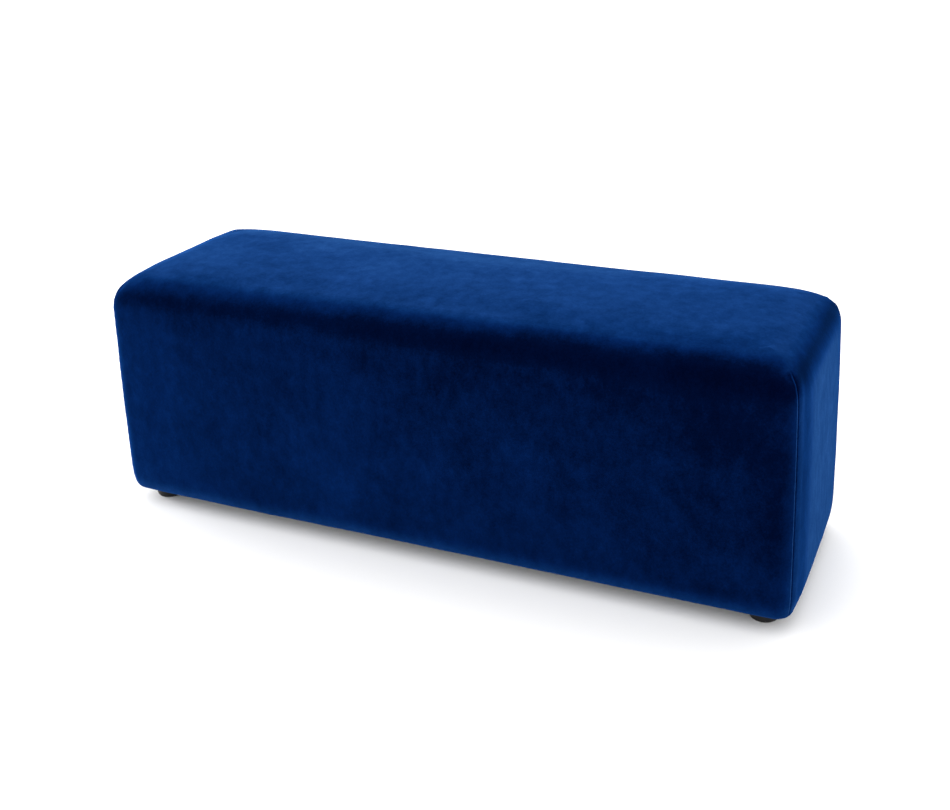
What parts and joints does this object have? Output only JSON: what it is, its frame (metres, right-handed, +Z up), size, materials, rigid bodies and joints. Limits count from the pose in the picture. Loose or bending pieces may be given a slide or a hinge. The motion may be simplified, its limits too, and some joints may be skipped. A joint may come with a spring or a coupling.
{
  "type": "upholstered bench",
  "caption": "Long, low box bench padded all over and covered in dark blue velvet, with soft rounded edges, sewn corner seams and short round feet; for sitting on.",
  "frame": {"origin": "on the floor, under the centre of the bench", "axes": "+X along the bench towards the end that shows in the picture, -Y towards the front, +Z up"},
  "size_m": [1.25, 0.4, 0.45],
  "materials": {
    "velvet": "short-pile velvet, dark blue, with a soft sheen that changes with the lie of the pile",
    "foot_plastic": "moulded black plastic, satin",
    "dust_cloth": "thin black non-woven sheet",
    "staple_wire": "galvanised wire",
    "screw_steel": "zinc plated",
    "wadding": "white polyester wadding",
    "foam": "open-cell foam",
    "board": "bare board",
    "softwood": "planed softwood"
  },
  "bodies": {
    "root": {"cover": "velvet", "foot_front_left": "foot_plastic", "foot_front_right": "foot_plastic", "foot_rear_left": "foot_plastic", "foot_rear_right": "foot_plastic", "dust_cloth": "dust_cloth", "dust_cloth_staples": "staple_wire", "foot_screws": "screw_steel", "batting": "wadding", "seat_foam": "foam", "front_foam": "foam", "rear_foam": "foam", "left_end_foam": "foam", "right_end_foam": "foam", "deck_board": "board", "front_panel": "board", "rear_panel": "board", "left_end_panel": "board", "right_end_panel": "board", "rib_left": "board", "rib_right": "board", "post_front_left": "softwood", "post_front_right": "softwood", "post_rear_left": "softwood", "post_rear_right": "softwood", "rail_bottom_front": "softwood", "rail_bottom_rear": "softwood", "rail_bottom_left": "softwood", "rail_bottom_right": "softwood", "rail_top_front": "softwood", "rail_top_rear": "softwood", "rail_top_left": "softwood", "rail_top_right": "softwood", "deck_screws": "screw_steel", "panel_screws": "screw_steel", "end_screws": "screw_steel"}
  },
  "joints": []
}
